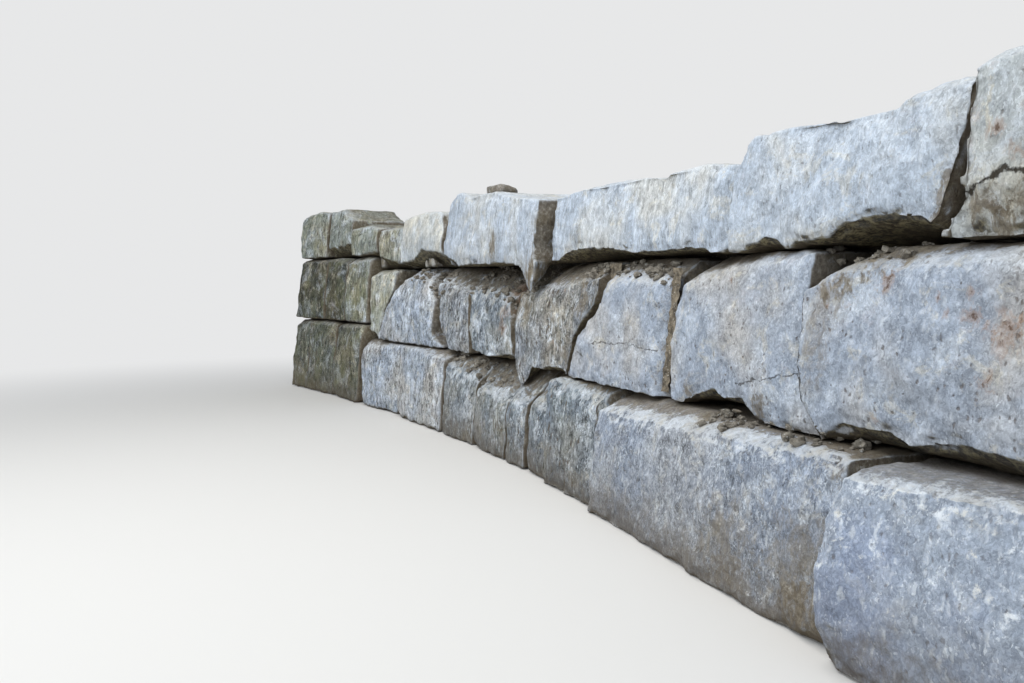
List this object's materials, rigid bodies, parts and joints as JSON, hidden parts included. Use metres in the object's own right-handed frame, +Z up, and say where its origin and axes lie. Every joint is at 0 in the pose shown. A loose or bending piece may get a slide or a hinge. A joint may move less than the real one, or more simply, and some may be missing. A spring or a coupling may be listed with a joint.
{
  "type": "dry stone wall",
  "caption": "Low battered dry stone retaining wall of large split limestone blocks laid in courses without mortar, curving gently forward, with pinning stones in its joints.",
  "frame": {"origin": "middle of the wall's box, on the ground under the base course", "axes": "+X along the wall towards its straight near end, -Y out of the built face towards the viewer, +Z up"},
  "size_m": [4.2506, 0.8174, 0.881],
  "materials": {
    "pale_limestone": "rough split face",
    "grey_limestone": "rough split face",
    "blue_grey_limestone": "rough split face with mineral specks",
    "weathered_limestone": "weathered, olive tinted",
    "brown_limestone": "rough, earth stained"
  },
  "bodies": {
    "root": {"base_stone_1": "blue_grey_limestone", "base_stone_2": "blue_grey_limestone", "base_stone_3": "blue_grey_limestone", "base_stone_4": "blue_grey_limestone", "base_stone_5": "blue_grey_limestone", "base_stone_6": "blue_grey_limestone", "base_stone_7": "blue_grey_limestone", "base_stone_8": "blue_grey_limestone", "base_stone_9": "blue_grey_limestone", "far_base_stone_1": "weathered_limestone", "far_base_stone_2": "weathered_limestone", "far_base_stone_3": "weathered_limestone", "far_middle_stone_1": "weathered_limestone", "far_middle_stone_2": "weathered_limestone", "far_middle_stone_3": "weathered_limestone", "far_top_stone_1": "weathered_limestone", "far_top_stone_2": "weathered_limestone", "far_top_stone_3": "weathered_limestone", "levelling_stone": "brown_limestone", "loose_stone": "brown_limestone", "middle_stone_1": "grey_limestone", "middle_stone_2": "grey_limestone", "middle_stone_3": "grey_limestone", "middle_stone_4": "grey_limestone", "middle_stone_5": "grey_limestone", "middle_stone_6": "grey_limestone", "middle_stone_7": "grey_limestone", "middle_stone_8": "grey_limestone", "pin_stone_1": "brown_limestone", "pin_stone_2": "brown_limestone", "pin_stone_3": "brown_limestone", "top_stone_1": "pale_limestone", "top_stone_2": "pale_limestone", "top_stone_3": "pale_limestone", "top_stone_4": "pale_limestone", "top_stone_5": "pale_limestone", "top_stone_6": "pale_limestone"}
  },
  "joints": []
}
